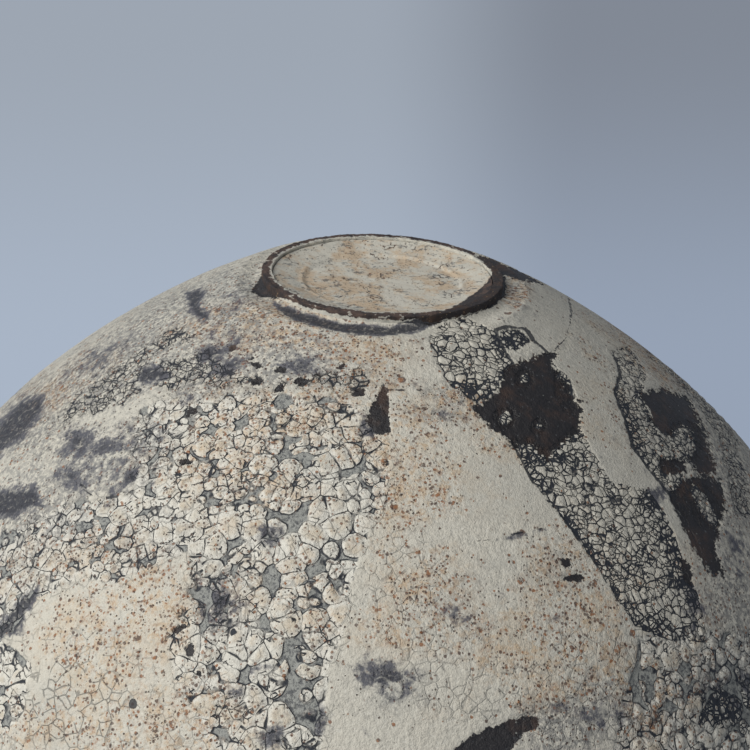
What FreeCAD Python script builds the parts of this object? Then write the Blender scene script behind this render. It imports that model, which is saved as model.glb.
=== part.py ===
import FreeCAD, Part
import Sketcher
import math
import os

# A moon jar: two thrown bowls joined at the belly, a turned foot ring, a short collar, and coats of slip.
# Millimetres, +Z up, origin at the centre of the plane that the foot ring stands on.
# Every piece is turned: a profile in the XZ plane, revolved about Z.

doc = FreeCAD.newDocument("moon_jar")
sheet = doc.addObject("Spreadsheet::Sheet", "Sizes")

# Driving dimensions. Radii and arcs of the outside are taken on the surface of the slip.
sizes = {
    "belly_radius": "160",
    "lower_belly_arc": "154",
    "lower_wall_arc": "280",
    "lower_turn_angle": "42",
    "upper_belly_arc": "146",
    "shoulder_arc": "190",
    "shoulder_turn_angle": "42",
    "clay_wall": "7",
    "slip_coat": "1.2",
    "floor_top": "11",
    "floor_flat_radius": "24",
    "foot_radius": "36",
    "foot_rim_width": "3.7",
    "foot_depth": "4.4",
    "foot_edge_round": "0.6",
    "foot_root_round": "1.8",
    "foot_bare_band": "3.2",
    "waist_shelf": "4",
    "waist_edge_round": "1.6",
    "well_slip_setback": "0.3",
    "well_slope_radius": "23.6",
    "well_slope_drop": "1.9",
    "well_edge_width": "0.7",
    "seam_scarf": "5",
    "seam_slip": "1.4",
    "coil_reach": "4.5",
    "coil_half_width": "11",
    "collar_radius": "48",
    "collar_wall": "6",
    "collar_rise": "12",
    "collar_flare": "2.6",
    "lip_round": "2.4",
    "collar_slip_reach": "7",
}

# Heights and radii that follow from them: arc centres first, then the clay and inner surfaces.
derived = {
    "waist_radius": "foot_radius + foot_bare_band + waist_shelf",
    "waist_height": "foot_depth - slip_coat",
    "lower_belly_r": "belly_radius - lower_belly_arc",
    "lower_wall_r": "lower_belly_r + (lower_belly_arc - lower_wall_arc) * sin(lower_turn_angle)",
    "lower_wall_z": "waist_height + sqrt(pow(lower_wall_arc; 2) - pow(waist_radius - lower_wall_r; 2))",
    "belly_height": "lower_wall_z + (lower_belly_arc - lower_wall_arc) * cos(lower_turn_angle)",
    "upper_belly_r": "belly_radius - upper_belly_arc",
    "shoulder_r": "upper_belly_r + (upper_belly_arc - shoulder_arc) * sin(shoulder_turn_angle)",
    "shoulder_z": "belly_height + (upper_belly_arc - shoulder_arc) * cos(shoulder_turn_angle)",
    "inner_offset": "slip_coat + clay_wall",
    "seam_bottom": "belly_height - seam_scarf",
    "neck_z": "shoulder_z + sqrt(pow(shoulder_arc - slip_coat; 2) - pow(collar_radius - shoulder_r; 2))",
    "neck_slip_z": "shoulder_z + sqrt(pow(shoulder_arc; 2) - pow(collar_radius - shoulder_r; 2))",
    "collar_bore": "collar_radius - collar_wall",
    "lip_z": "neck_z + collar_rise",
    "lip_outer_r": "collar_radius + collar_flare",
    "foot_inner_radius": "foot_radius - foot_rim_width",
    "well_clay_z": "foot_edge_round + well_slip_setback + slip_coat",
}


def fill_sheet():
    row = 1
    for name, text in sizes.items():
        sheet.set("A%d" % row, name)
        sheet.set("B%d" % row, text)
        sheet.setAlias("B%d" % row, name)
        row += 1
    for name, formula in derived.items():
        sheet.set("A%d" % row, name)
        sheet.set("B%d" % row, "=" + formula)
        sheet.setAlias("B%d" % row, name)
        row += 1
    doc.recompute()


fill_sheet()


def value(text):
    """The number that an expression in the sheet's names stands for."""
    result = sheet.evalExpression(text)
    return float(getattr(result, "Value", result))


def on_sheet(text):
    """The same expression as a sketch writes it, with the sheet's name before each of the sheet's names."""
    names = sorted(list(sizes) + list(derived), key=len, reverse=True)
    parts = []
    word = ""
    for sign in text + " ":
        if sign.isalnum() or sign == "_":
            word += sign
            continue
        parts.append("Sizes." + word if word in names else word)
        parts.append(sign)
        word = ""
    return "".join(parts).strip()


def circle_z(centre_r, centre_z, radius, at_r, side):
    """Height at which a circle crosses a radius, on its upper (+) or lower (-) side."""
    return "%s %s sqrt(pow(%s; 2) - pow(%s - (%s); 2))" % (centre_z, side, radius, at_r, centre_r)


def circle_r(centre_r, centre_z, radius, at_z):
    """Radius at which a circle's outer side crosses a height."""
    return "%s + sqrt(pow(%s; 2) - pow(%s - (%s); 2))" % (centre_r, radius, at_z, centre_z)


def arc_between(first, last, radius, bulge):
    """The shorter arc from first to last; bulge is left or right, the side of the path it swells to."""
    chord = last - first
    sagitta_side = FreeCAD.Vector(-chord.y, chord.x, 0).normalize()
    if bulge == "right":
        sagitta_side = -sagitta_side
    depth = math.sqrt(radius * radius - chord.Length * chord.Length / 4)
    centre = (first + last) * 0.5 - sagitta_side * depth
    ends = [first, last] if bulge == "right" else [last, first]
    angles = [math.atan2(end.y - centre.y, end.x - centre.x) for end in ends]
    circle = Part.Circle(centre, FreeCAD.Vector(0, 0, 1), radius)
    return Part.ArcOfCircle(circle, angles[0], angles[1])


def origin_plane(body, role):
    return [item for item in body.Origin.OriginFeatures if item.Role == role][0]


def turned(label, profile):
    """A turned piece. The profile is a list of corners (radius, height) in order round the section, each
    followed by None for a straight side or by (arc radius, bulge) for a round one to the next corner."""
    body = doc.addObject("PartDesign::Body", label)
    body.Label = label
    sketch = body.newObject("Sketcher::SketchObject", label + "_section")
    sketch.AttachmentSupport = [(origin_plane(body, "XZ_Plane"), "")]
    sketch.MapMode = "FlatFace"
    spots = [FreeCAD.Vector(value(radius), value(height), 0) for radius, height, side in profile]
    count = len(profile)
    starts = []
    for index in range(count):
        first = spots[index]
        last = spots[(index + 1) % count]
        side = profile[index][2]
        if side is None:
            sketch.addGeometry(Part.LineSegment(first, last), False)
            starts.append(1)
        else:
            sketch.addGeometry(arc_between(first, last, value(side[0]), side[1]), False)
            starts.append(1 if side[1] == "right" else 2)
    for index in range(count):
        after = (index + 1) % count
        sketch.addConstraint(Sketcher.Constraint("Coincident", index, 3 - starts[index], after, starts[after]))
    for index in range(count):
        radius, height, side = profile[index]
        place(sketch, index, starts[index], "X", radius, spots[index].x)
        place(sketch, index, starts[index], "Y", height, spots[index].y)
        if side is not None:
            name = "round_%d" % index
            number = sketch.addConstraint(Sketcher.Constraint("Radius", index, value(side[0])))
            sketch.renameConstraint(number, name)
            sketch.setExpression("Constraints." + name, on_sheet(side[0]))
    turn = body.newObject("PartDesign::Revolution", label + "_turned")
    turn.Profile = sketch
    turn.ReferenceAxis = (sketch, ["V_Axis"])
    turn.Angle = 360
    sketch.Visibility = False
    body.Placement = FreeCAD.Placement()
    return body


def place(sketch, index, end, way, text, number):
    """Holds one corner of a sketch at a distance from the axis (X) or from the standing plane (Y)."""
    if text == "0":
        axis = -2 if way == "X" else -1
        sketch.addConstraint(Sketcher.Constraint("PointOnObject", index, end, axis))
        return
    name = "%s_%d" % ("radius" if way == "X" else "height", index)
    added = sketch.addConstraint(Sketcher.Constraint("Distance" + way, -1, 1, index, end, number))
    sketch.renameConstraint(added, name)
    sketch.setExpression("Constraints." + name, on_sheet(text))


def turn_point(centre_r, centre_z, arc, offset, angle, side):
    """Corner where two tangent arcs meet, a given offset inside the slip's surface."""
    radius = "%s + (%s - (%s)) * sin(%s)" % (centre_r, arc, offset, angle)
    height = "%s %s (%s - (%s)) * cos(%s)" % (centre_z, side, arc, offset, angle)
    return radius, height


def lower_turn(offset):
    return turn_point("lower_belly_r", "belly_height", "lower_belly_arc", offset, "lower_turn_angle", "-")


def upper_turn(offset):
    return turn_point("upper_belly_r", "belly_height", "upper_belly_arc", offset, "shoulder_turn_angle", "+")


def foot_ring():
    """The ring that the jar stands on, turned with an undercut root outside and a slope into the well."""
    rim_in = "foot_inner_radius + foot_edge_round"
    rim_out = "foot_radius - foot_edge_round"
    root_z = "foot_depth - foot_root_round"
    return turned("foot_ring", [
        (rim_in, "0", None),
        (rim_out, "0", ("foot_edge_round", "right")),
        ("foot_radius", "foot_edge_round", None),
        ("foot_radius", root_z, ("foot_root_round", "left")),
        ("foot_radius + foot_root_round", "foot_depth", None),
        ("well_slope_radius", "foot_depth", None),
        ("foot_inner_radius", "well_clay_z", None),
        ("foot_inner_radius", "foot_edge_round", ("foot_edge_round", "right")),
    ])


def foot_well_slip():
    """Slip down the well's slope, over a small turned edge and across the well's floor."""
    edge_r = "well_slope_radius - well_edge_width"
    floor_z = "foot_depth - slip_coat"
    return turned("foot_well_slip", [
        ("0", floor_z, None),
        (edge_r, floor_z, None),
        ("well_slope_radius", "well_clay_z - slip_coat + well_slope_drop", None),
        ("foot_inner_radius", "well_clay_z - slip_coat", None),
        ("foot_inner_radius", "well_clay_z", None),
        ("well_slope_radius", "foot_depth", None),
        ("0", "foot_depth", None),
    ])


def lower_bowl():
    """The lower thrown bowl: a flat floor, a nearly conical wall, a round belly and a bevelled rim."""
    outer = "slip_coat"
    inner = "inner_offset"
    outer_start = circle_r("lower_wall_r", "lower_wall_z", "lower_wall_arc - slip_coat", "foot_depth")
    inner_arc = "lower_wall_arc - inner_offset"
    blend_z = circle_z("lower_wall_r", "lower_wall_z", inner_arc, "waist_radius", "-")
    seam_outer = circle_r("lower_belly_r", "belly_height", "lower_belly_arc - slip_coat", "seam_bottom")
    outer_turn = lower_turn(outer)
    inner_turn = lower_turn(inner)
    return turned("lower_bowl", [
        ("0", "foot_depth", None),
        (outer_start, "foot_depth", ("lower_wall_arc - slip_coat", "right")),
        (outer_turn[0], outer_turn[1], ("lower_belly_arc - slip_coat", "right")),
        (seam_outer, "seam_bottom", None),
        ("belly_radius - inner_offset", "belly_height", ("lower_belly_arc - inner_offset", "left")),
        (inner_turn[0], inner_turn[1], (inner_arc, "left")),
        ("waist_radius", blend_z, None),
        ("floor_flat_radius", "floor_top", None),
        ("0", "floor_top", None),
    ])


def luting_seam():
    """Joining slip in the bevel between the two rims, lower outside than inside."""
    lower_outer = circle_r("lower_belly_r", "belly_height", "lower_belly_arc - slip_coat", "seam_bottom")
    upper_outer = circle_r("lower_belly_r", "belly_height", "lower_belly_arc - slip_coat",
                           "seam_bottom + seam_slip")
    upper_inner = circle_r("upper_belly_r", "belly_height", "upper_belly_arc - inner_offset",
                           "belly_height + seam_slip")
    return turned("luting_seam", [
        (lower_outer, "seam_bottom", ("lower_belly_arc - slip_coat", "right")),
        (upper_outer, "seam_bottom + seam_slip", None),
        (upper_inner, "belly_height + seam_slip", ("upper_belly_arc - inner_offset", "left")),
        ("belly_radius - inner_offset", "belly_height", None),
    ])


def upper_bowl():
    """The upper thrown bowl: the bevelled rim, the belly, the shoulder and the opening for the collar."""
    rim_outer = circle_r("lower_belly_r", "belly_height", "lower_belly_arc - slip_coat",
                         "seam_bottom + seam_slip")
    rim_inner = circle_r("upper_belly_r", "belly_height", "upper_belly_arc - inner_offset",
                         "belly_height + seam_slip")
    outer_turn = upper_turn("slip_coat")
    inner_turn = upper_turn("inner_offset")
    inner_arc = "shoulder_arc - inner_offset"
    opening_z = circle_z("shoulder_r", "shoulder_z", inner_arc, "collar_bore", "+")
    return turned("upper_bowl", [
        (rim_outer, "seam_bottom + seam_slip", ("lower_belly_arc - slip_coat", "right")),
        ("belly_radius - slip_coat", "belly_height", ("upper_belly_arc - slip_coat", "right")),
        (outer_turn[0], outer_turn[1], ("shoulder_arc - slip_coat", "right")),
        ("collar_radius", "neck_z", None),
        ("collar_bore", "neck_z", None),
        ("collar_bore", opening_z, (inner_arc, "left")),
        (inner_turn[0], inner_turn[1], ("upper_belly_arc - inner_offset", "left")),
        (rim_inner, "belly_height + seam_slip", None),
    ])


def seam_coil():
    """The coil pressed over the joint inside: thick in the middle, thinned out on both bowls."""
    low_r = circle_r("lower_belly_r", "belly_height", "lower_belly_arc - inner_offset",
                     "belly_height - coil_half_width")
    high_r = circle_r("upper_belly_r", "belly_height", "upper_belly_arc - inner_offset",
                      "belly_height + coil_half_width")
    swell = "(pow(coil_half_width; 2) + pow(coil_reach; 2)) / coil_reach / 2"
    return turned("seam_coil", [
        (low_r, "belly_height - coil_half_width", ("lower_belly_arc - inner_offset", "right")),
        ("belly_radius - inner_offset", "belly_height", ("upper_belly_arc - inner_offset", "right")),
        (high_r, "belly_height + coil_half_width", (swell, "right")),
    ])


def neck_collar():
    """The short collar, flared a little to a rounded lip."""
    lip_in = "lip_outer_r - lip_round * 2"
    flare_z = "lip_z - lip_round"
    return turned("neck_collar", [
        ("collar_bore", "neck_z", None),
        ("collar_radius", "neck_z", None),
        ("collar_radius", "neck_slip_z", (flare_arc("neck_slip_z"), "left")),
        ("lip_outer_r", flare_z, ("lip_round", "right")),
        ("lip_outer_r - lip_round", "lip_z", ("lip_round", "right")),
        (lip_in, flare_z, None),
    ])


def flare_arc(start_z):
    """Radius of the arc that leaves the collar's foot upright and reaches the lip's flare."""
    rise = "(lip_z - lip_round - (%s))" % start_z
    return "(pow(%s; 2) + pow(collar_flare; 2)) / collar_flare / 2" % rise


def lower_slip_coat():
    """Slip on the lower half, from a rounded edge by the bare foot to the belly."""
    edge_r = "foot_radius + foot_bare_band"
    inner_start = circle_r("lower_wall_r", "lower_wall_z", "lower_wall_arc - slip_coat", "foot_depth")
    outer_turn = lower_turn("0")
    inner_turn = lower_turn("slip_coat")
    return turned("lower_slip_coat", [
        (edge_r, "foot_depth", ("waist_edge_round", "right")),
        (edge_r + " + slip_coat", "waist_height", None),
        ("waist_radius", "waist_height", ("lower_wall_arc", "right")),
        (outer_turn[0], outer_turn[1], ("lower_belly_arc", "right")),
        ("belly_radius", "belly_height", None),
        ("belly_radius - slip_coat", "belly_height", ("lower_belly_arc - slip_coat", "left")),
        (inner_turn[0], inner_turn[1], ("lower_wall_arc - slip_coat", "left")),
        (inner_start, "foot_depth", None),
    ])


def upper_slip_coat():
    """Slip on the upper half, from the belly to the collar's foot."""
    outer_turn = upper_turn("0")
    inner_turn = upper_turn("slip_coat")
    return turned("upper_slip_coat", [
        ("belly_radius", "belly_height", ("upper_belly_arc", "right")),
        (outer_turn[0], outer_turn[1], ("shoulder_arc", "right")),
        ("collar_radius", "neck_slip_z", None),
        ("collar_radius", "neck_z", ("shoulder_arc - slip_coat", "left")),
        (inner_turn[0], inner_turn[1], ("upper_belly_arc - slip_coat", "left")),
        ("belly_radius - slip_coat", "belly_height", None),
    ])


def collar_slip():
    """Slip on the collar: up the flare, over the lip and a little way down inside."""
    lip_in = "lip_outer_r - lip_round * 2"
    flare_z = "lip_z - lip_round"
    inside_z = "lip_z - lip_round - collar_slip_reach"
    lean = "(lip_outer_r - lip_round * 2 - collar_bore) / (lip_z - lip_round - neck_z)"
    inside_r = lip_in + " - collar_slip_reach * " + lean
    lip_slip = "lip_round + slip_coat"
    return turned("collar_slip", [
        ("collar_radius", "neck_slip_z", None),
        ("collar_radius + slip_coat", "neck_slip_z", (flare_arc("neck_slip_z") + " - slip_coat", "left")),
        ("lip_outer_r + slip_coat", flare_z, (lip_slip, "right")),
        ("lip_outer_r - lip_round", "lip_z + slip_coat", (lip_slip, "right")),
        (lip_in + " - slip_coat", flare_z, None),
        (inside_r + " - slip_coat", inside_z, None),
        (inside_r, inside_z, None),
        (lip_in, flare_z, ("lip_round", "left")),
        ("lip_outer_r - lip_round", "lip_z", ("lip_round", "left")),
        ("lip_outer_r", flare_z, (flare_arc("neck_slip_z"), "right")),
    ])


pieces = [
    foot_ring(),
    foot_well_slip(),
    lower_bowl(),
    luting_seam(),
    seam_coil(),
    upper_bowl(),
    neck_collar(),
    lower_slip_coat(),
    upper_slip_coat(),
    collar_slip(),
]
doc.recompute()

for item in doc.Objects:
    if "Invalid" in item.State or "Error" in item.State:
        raise RuntimeError("%s failed: %s" % (item.Label, item.State))
for piece in pieces:
    if piece.Shape.isNull() or not piece.Shape.isValid() or len(piece.Shape.Solids) != 1:
        raise RuntimeError("%s is not one valid solid" % piece.Label)

os.makedirs("parts", exist_ok=True)
for piece in pieces:
    piece.Shape.exportStep("parts/" + piece.Label + ".step")
    box = piece.Shape.optimalBoundingBox()
    print("%-16s %9.0f mm3, out to %6.2f, height %6.2f to %6.2f"
          % (piece.Label, piece.Shape.Volume, box.XMax, box.ZMin, box.ZMax))
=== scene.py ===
import math
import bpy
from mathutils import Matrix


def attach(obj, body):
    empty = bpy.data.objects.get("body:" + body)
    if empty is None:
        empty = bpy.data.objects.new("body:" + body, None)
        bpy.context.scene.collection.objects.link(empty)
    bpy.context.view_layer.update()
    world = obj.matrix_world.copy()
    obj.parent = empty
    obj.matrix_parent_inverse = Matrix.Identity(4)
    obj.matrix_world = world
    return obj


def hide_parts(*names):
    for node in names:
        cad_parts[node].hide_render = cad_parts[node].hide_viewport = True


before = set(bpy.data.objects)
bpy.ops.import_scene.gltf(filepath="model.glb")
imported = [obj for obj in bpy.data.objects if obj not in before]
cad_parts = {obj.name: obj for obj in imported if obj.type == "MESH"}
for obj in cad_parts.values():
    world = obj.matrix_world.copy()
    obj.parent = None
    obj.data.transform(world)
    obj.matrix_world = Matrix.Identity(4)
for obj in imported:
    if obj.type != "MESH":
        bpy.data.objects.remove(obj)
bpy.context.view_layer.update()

from types import SimpleNamespace

import bmesh
import bpy
import numpy as np
from mathutils import Matrix, Vector

# Sizes of the turned outside, in metres, as the potter's pieces have them
FOOT_RADIUS = 0.036
FOOT_RIM_WIDTH = 0.0037
FOOT_DEPTH = 0.0044
SLIP_COAT = 0.0012
BARE_BAND = 0.0032
BAND_UNDER_SLIP = 0.0002
WAIST_SHELF = 0.004
BELLY_RADIUS = 0.160
LOWER_BELLY_ARC = 0.154
LOWER_WALL_ARC = 0.280
LOWER_TURN = math.radians(42)
UPPER_BELLY_ARC = 0.146
SHOULDER_ARC = 0.190
SHOULDER_TURN = math.radians(42)
WELL_SLOPE_RADIUS = 0.0236
WELL_EDGE_WIDTH = 0.0007
WELL_RIM_Z = 0.0009
WELL_STEP_Z = 0.0028
WELL_FLOOR_Z = 0.0032
FOOT_EDGE_ROUND = 0.0006
FOOT_ROOT_ROUND = 0.0018
COLLAR_RADIUS = 0.048
COLLAR_RISE = 0.012
COLLAR_FLARE = 0.0026
COLLAR_WALL = 0.006
LIP_ROUND = 0.0024
COLLAR_SLIP_REACH = 0.007

WAIST_RADIUS = FOOT_RADIUS + BARE_BAND + WAIST_SHELF
WAIST_Z = FOOT_DEPTH - SLIP_COAT
LOWER_BELLY_R = BELLY_RADIUS - LOWER_BELLY_ARC
LOWER_WALL_R = LOWER_BELLY_R + (LOWER_BELLY_ARC - LOWER_WALL_ARC) * math.sin(LOWER_TURN)
LOWER_WALL_Z = WAIST_Z + math.sqrt(LOWER_WALL_ARC ** 2 - (WAIST_RADIUS - LOWER_WALL_R) ** 2)
BELLY_Z = LOWER_WALL_Z + (LOWER_BELLY_ARC - LOWER_WALL_ARC) * math.cos(LOWER_TURN)
UPPER_BELLY_R = BELLY_RADIUS - UPPER_BELLY_ARC
SHOULDER_R = UPPER_BELLY_R + (UPPER_BELLY_ARC - SHOULDER_ARC) * math.sin(SHOULDER_TURN)
SHOULDER_Z = BELLY_Z + (UPPER_BELLY_ARC - SHOULDER_ARC) * math.cos(SHOULDER_TURN)
NECK_SLIP_Z = SHOULDER_Z + math.sqrt(SHOULDER_ARC ** 2 - (COLLAR_RADIUS - SHOULDER_R) ** 2)
NECK_Z = SHOULDER_Z + math.sqrt((SHOULDER_ARC - SLIP_COAT) ** 2 - (COLLAR_RADIUS - SHOULDER_R) ** 2)
LIP_Z = NECK_Z + COLLAR_RISE

# The photographed view: the jar stands on its collar and the foot is seen from a little above it
FIELD_OF_VIEW = math.radians(24)
PICTURE_SIZE = 750
FOOT_TIP = math.radians(23.0)
FOOT_LEAN = math.radians(3.03)
FOOT_RIGHT = 0.064 * FOOT_RADIUS
FOOT_UP = 0.850 * FOOT_RADIUS
FOOT_AWAY = 14.477 * FOOT_RADIUS
SENSOR = 0.036
MILLIMETRES = 1000.0


def view_axes():
    """Right, up and back of the photographed view, with the jar's foot axis pointing up in the picture."""
    back = Vector((0, -math.cos(FOOT_TIP), -math.sin(FOOT_TIP)))
    level_up = Vector((0, math.sin(FOOT_TIP), -math.cos(FOOT_TIP)))
    level_right = level_up.cross(back)
    right = level_right * math.cos(FOOT_LEAN) + level_up * math.sin(FOOT_LEAN)
    up = level_up * math.cos(FOOT_LEAN) - level_right * math.sin(FOOT_LEAN)
    return right, up, back


VIEW_RIGHT, VIEW_UP, VIEW_BACK = view_axes()
EYE = VIEW_BACK * FOOT_AWAY - VIEW_RIGHT * FOOT_RIGHT - VIEW_UP * FOOT_UP
PIXELS_PER_SLOPE = PICTURE_SIZE / 2 / math.tan(FIELD_OF_VIEW / 2)


def in_picture(places):
    """Pixel coordinates of places in the photographed view."""
    offset = places - np.array(EYE)
    away = -(offset @ np.array(VIEW_BACK))
    across = offset @ np.array(VIEW_RIGHT)
    height = offset @ np.array(VIEW_UP)
    x = PICTURE_SIZE / 2 + PIXELS_PER_SLOPE * across / away
    y = PICTURE_SIZE / 2 - PIXELS_PER_SLOPE * height / away
    return x, y


# Outlines of the turned surfaces, as (radius, height) at even steps
def arc_points(centre_r, centre_z, radius, start, end, step):
    """Points on an arc; angles are measured from the downward axis, towards the outside."""
    count = max(2, int(abs(end - start) * radius / step))
    turns = [start + (end - start) * index / count for index in range(count + 1)]
    return [(centre_r + radius * math.sin(turn), centre_z - radius * math.cos(turn)) for turn in turns]


def line_points(first, last, step):
    length = math.hypot(last[0] - first[0], last[1] - first[1])
    count = max(1, int(length / step))
    run_r = last[0] - first[0]
    run_z = last[1] - first[1]
    return [(first[0] + run_r * index / count, first[1] + run_z * index / count)
            for index in range(count + 1)]


def joined(*runs):
    """One outline from runs that meet end to end."""
    outline = list(runs[0])
    for run in runs[1:]:
        outline += run[1:]
    return outline


def wall_start_turn():
    return math.asin((WAIST_RADIUS - LOWER_WALL_R) / LOWER_WALL_ARC)


# The smear of slip on the foot: how far out from the foot and below the waist, in metres
SMEAR = ((-0.0002, 0.0012), (0.0002, 0.0010), (0.0007, 0.0006), (0.0014, 0.0003), (0.0022, 0.0001))


def lower_wall_outline(step):
    """From the smear of slip on the foot over the waist and up the conical wall."""
    edge_r = FOOT_RADIUS + BARE_BAND
    smear = [(FOOT_RADIUS + out, WAIST_Z - drop) for out, drop in SMEAR] + [(edge_r, WAIST_Z)]
    shelf = line_points((edge_r, WAIST_Z), (WAIST_RADIUS, WAIST_Z), step)
    wall = arc_points(LOWER_WALL_R, LOWER_WALL_Z, LOWER_WALL_ARC, wall_start_turn(), LOWER_TURN, step)
    return joined(smear, shelf, wall)


def lower_belly_outline(step):
    return arc_points(LOWER_BELLY_R, BELLY_Z, LOWER_BELLY_ARC, LOWER_TURN, math.pi / 2, step)


def lower_outline(step):
    return joined(lower_wall_outline(step), lower_belly_outline(step))


def upper_outline(step):
    """From the belly over the shoulder to the collar."""
    belly = arc_points(UPPER_BELLY_R, BELLY_Z, UPPER_BELLY_ARC, math.pi / 2, math.pi - SHOULDER_TURN, step)
    end = math.pi - math.asin((COLLAR_RADIUS - SHOULDER_R) / SHOULDER_ARC)
    shoulder = arc_points(SHOULDER_R, SHOULDER_Z, SHOULDER_ARC, math.pi - SHOULDER_TURN, end, step)
    return joined(belly, shoulder)


def collar_outline(step):
    """Up the flare, over the lip and a little way down inside."""
    flare_z = LIP_Z - LIP_ROUND
    rise = flare_z - NECK_SLIP_Z
    flare = (rise ** 2 + COLLAR_FLARE ** 2) / COLLAR_FLARE / 2
    centre_r = COLLAR_RADIUS + flare
    turn = math.asin(rise / flare)
    count = max(2, int(rise / step))
    bend = [turn * index / count for index in range(count + 1)]
    skin = flare - SLIP_COAT
    outside = [(centre_r - skin * math.cos(angle), NECK_SLIP_Z + skin * math.sin(angle)) for angle in bend]
    lip_r = COLLAR_RADIUS + COLLAR_FLARE - LIP_ROUND
    lip = arc_points(lip_r, flare_z, LIP_ROUND + SLIP_COAT, math.pi / 2, math.pi * 3 / 2, step / 2)
    bore = COLLAR_RADIUS - COLLAR_WALL
    inner_r = lip_r - LIP_ROUND
    lean = (inner_r - bore) / (flare_z - NECK_Z)
    low_r = inner_r - COLLAR_SLIP_REACH * lean
    low_z = flare_z - COLLAR_SLIP_REACH
    inside = line_points((inner_r - SLIP_COAT, flare_z), (low_r - SLIP_COAT, low_z), step)
    return joined(outside, lip, inside, [(low_r - SLIP_COAT, low_z), (low_r, low_z)])


def well_outline(step):
    """From the foot's rim down the slope, over the turned edge and across the floor to the axis."""
    rim = (FOOT_RADIUS - FOOT_RIM_WIDTH, WELL_RIM_Z)
    brow = (WELL_SLOPE_RADIUS, WELL_STEP_Z)
    low = (WELL_SLOPE_RADIUS - WELL_EDGE_WIDTH, WELL_FLOOR_Z)
    return joined(line_points(rim, brow, step), line_points(brow, low, step),
                  line_points(low, (0, WELL_FLOOR_Z), step))


def placed(name, data):
    """A new object in the scene. Its data may be a surface that is still being worked on."""
    if isinstance(data, bmesh.types.BMesh):
        mesh = bpy.data.meshes.new(name)
        data.to_mesh(mesh)
        data.free()
        data = mesh
    item = bpy.data.objects.new(name, data)
    bpy.context.scene.collection.objects.link(item)
    return item


def turned_piece(name, outline, steps, doublings):
    """A whole turned surface: a slice of the outline is spun in a few steps, then doubled until it closes."""
    surface = bmesh.new()
    spots = [surface.verts.new((r, 0, z)) for r, z in outline]
    edges = [surface.edges.new(pair) for pair in zip(spots, spots[1:])]
    slice_turn = 2 * math.pi / 2 ** doublings
    bmesh.ops.spin(surface, geom=spots + edges, cent=(0, 0, 0), axis=(0, 0, 1), angle=slice_turn, steps=steps)
    for index in range(doublings):
        copied = bmesh.ops.duplicate(surface, geom=surface.verts[:] + surface.edges[:] + surface.faces[:])
        moved = [item for item in copied["geom"] if isinstance(item, bmesh.types.BMVert)]
        turn = Matrix.Rotation(slice_turn * 2 ** index, 3, "Z")
        bmesh.ops.rotate(surface, verts=moved, cent=(0, 0, 0), matrix=turn)
    bmesh.ops.remove_doubles(surface, verts=surface.verts, dist=0.00001)
    bmesh.ops.recalc_face_normals(surface, faces=surface.faces)
    piece = placed(name, surface)
    piece.data.shade_smooth()
    return piece


def face_out(piece, away_from):
    """Turns the surface over where its normals point towards a place they should point away from."""
    mesh = piece.data
    count = len(mesh.polygons)
    normals = np.empty(count * 3)
    centres = np.empty(count * 3)
    mesh.polygons.foreach_get("normal", normals)
    mesh.polygons.foreach_get("center", centres)
    outward = centres.reshape(-1, 3) - np.array(away_from)
    if (normals.reshape(-1, 3) * outward).sum() < 0:
        mesh.flip_normals()


camera_data = bpy.data.cameras.new("camera")
camera_data.sensor_width = SENSOR * MILLIMETRES
camera_data.lens = SENSOR * MILLIMETRES / 2 / math.tan(FIELD_OF_VIEW / 2)
camera_data.clip_start = 0.01
camera = placed("camera", camera_data)
turned_view = Matrix((VIEW_RIGHT, VIEW_UP, VIEW_BACK)).transposed()
camera.matrix_world = Matrix.Translation(EYE) @ turned_view.to_4x4()
bpy.context.scene.camera = camera
bpy.context.scene.view_settings.view_transform = "Standard"

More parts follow.
